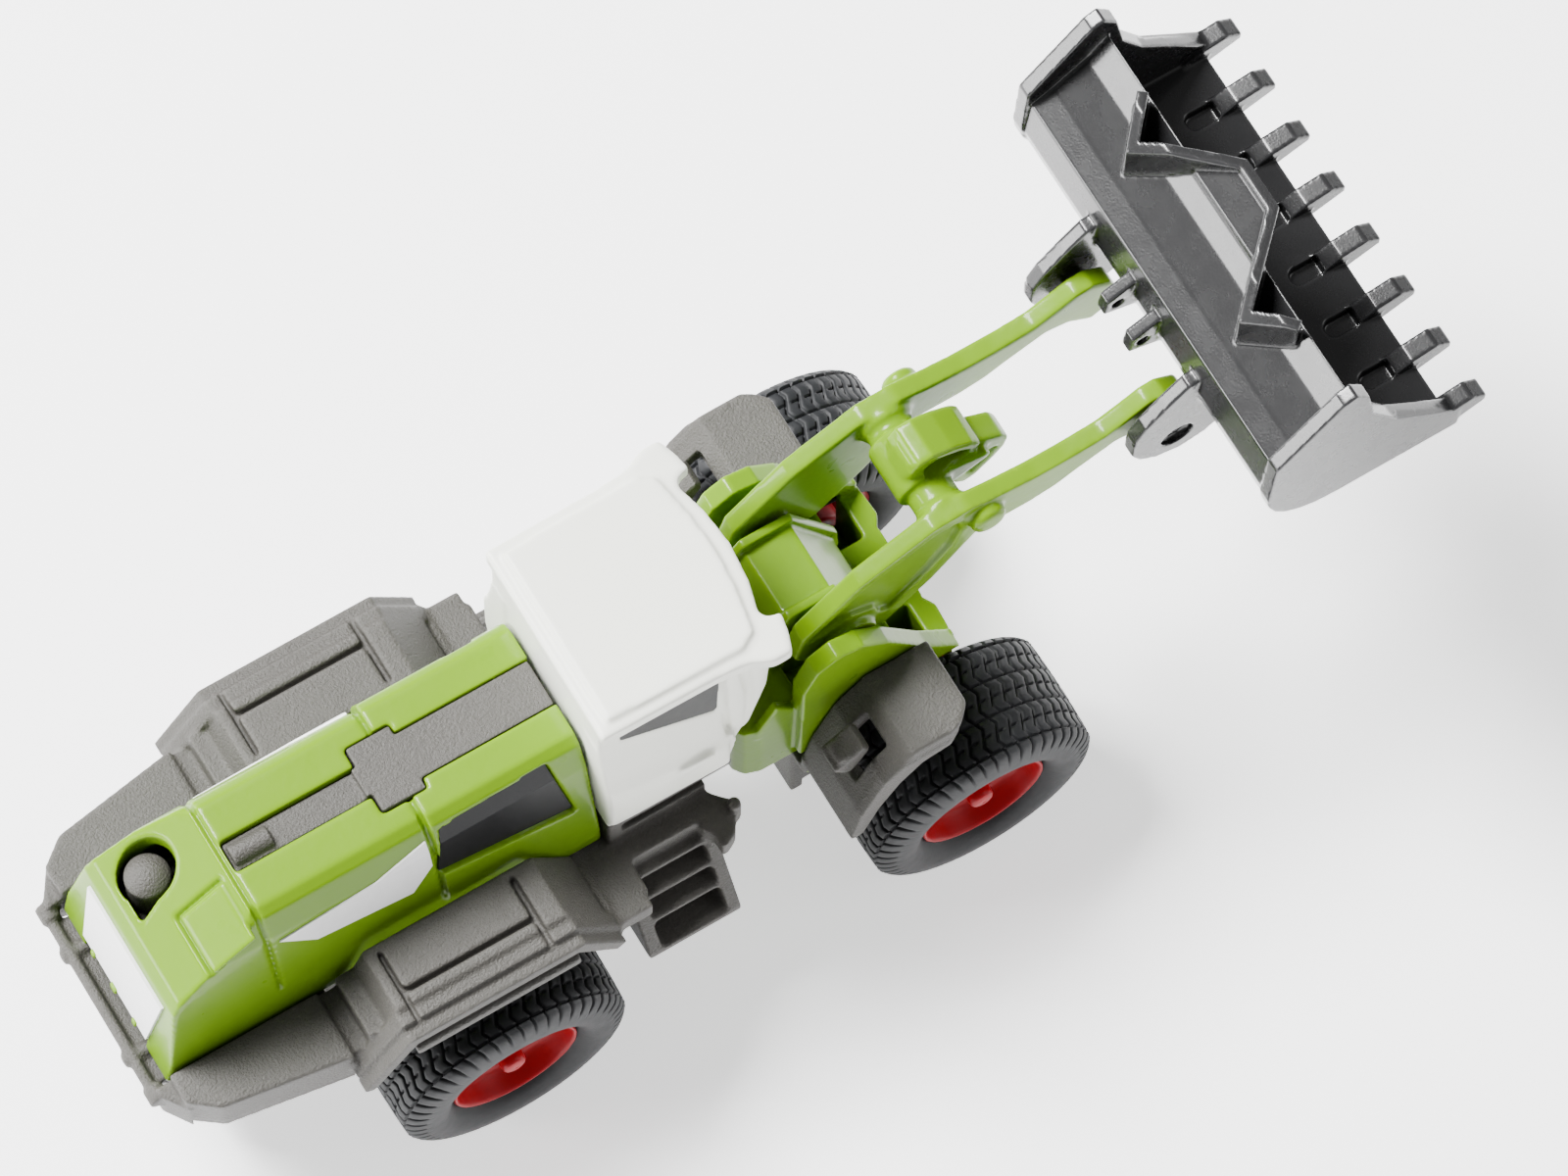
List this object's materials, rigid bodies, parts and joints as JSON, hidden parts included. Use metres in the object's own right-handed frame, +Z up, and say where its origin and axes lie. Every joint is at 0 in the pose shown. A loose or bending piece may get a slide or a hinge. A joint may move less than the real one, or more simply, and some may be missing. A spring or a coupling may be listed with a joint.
{
  "type": "toy wheel loader",
  "caption": "Pocket-size die-cast wheel loader toy with an articulated chassis, lifting loader arms, a tilting toothed bucket, turning wheels, a green hood and a white cab.",
  "frame": {"origin": "on the ground, midway between the rear tow pins and the bucket's tooth tips, on the centre plane", "axes": "+X forwards towards the bucket, +Y to the machine's left, +Z up"},
  "size_m": [0.1018, 0.0334, 0.053],
  "materials": {
    "green_paint": "glossy lime green enamel on a zinc casting",
    "dark_plastic": "fine-grained warm dark grey moulding",
    "cab_plastic": "smooth off-white moulding",
    "smoked_glazing": "dark smoked glazing insert, nearly opaque",
    "bucket_plastic": "satin dark grey moulding",
    "white_print": "blank white printed field",
    "black_print": "satin black grille panel",
    "steel": "plain bright steel",
    "rim_plastic": "bright red moulding",
    "tyre_rubber": "matt black rubber with a moulded zig-zag tread"
  },
  "bodies": {
    "rear_body": {"rear_chassis": "dark_plastic", "hood": "green_paint", "hood_insert": "dark_plastic", "rear_panel": "white_print", "side_grille_left": "black_print", "side_grille_right": "black_print", "side_stripe_left": "white_print", "side_stripe_right": "white_print", "cab_shell": "cab_plastic", "cab_glazing": "smoked_glazing", "operator_seat": "dark_plastic", "steering_pin": "steel", "chassis_rivets": "steel"},
    "front_body": {"front_frame": "green_paint", "front_mudguards": "dark_plastic", "lift_pin": "steel"},
    "arms": {"loader_arms": "green_paint", "bucket_pins": "steel"},
    "bucket": {"bucket": "bucket_plastic"},
    "rear_wheels": {"rear_axle": "steel", "rear_left_rim": "rim_plastic", "rear_right_rim": "rim_plastic", "rear_left_tyre": "tyre_rubber", "rear_right_tyre": "tyre_rubber"},
    "front_wheels": {"front_axle": "steel", "front_left_rim": "rim_plastic", "front_right_rim": "rim_plastic", "front_left_tyre": "tyre_rubber", "front_right_tyre": "tyre_rubber"}
  },
  "joints": [
    {"name": "steering", "type": "hinge", "parent": "rear_body", "child": "front_body", "pos_m": [-0.00705, 0, 0.0135], "axis": [0, 0, 1], "range_deg": [-30, 30]},
    {"name": "arm_lift", "type": "hinge", "parent": "front_body", "child": "arms", "pos_m": [0.00665, 0, 0.0266], "axis": [0, -1, 0], "range_deg": [-60, 18]},
    {"name": "bucket_tilt", "type": "hinge", "parent": "arms", "child": "bucket", "pos_m": [0.03195, 0, 0.0352], "axis": [0, -1, 0], "range_deg": [-55, 30]},
    {"name": "rear_wheel_spin", "type": "hinge", "parent": "rear_body", "child": "rear_wheels", "pos_m": [-0.02655, 0, 0.00905], "axis": [0, 1, 0], "continuous": true},
    {"name": "front_wheel_spin", "type": "hinge", "parent": "front_body", "child": "front_wheels", "pos_m": [0.01195, 0, 0.00905], "axis": [0, 1, 0], "continuous": true}
  ]
}
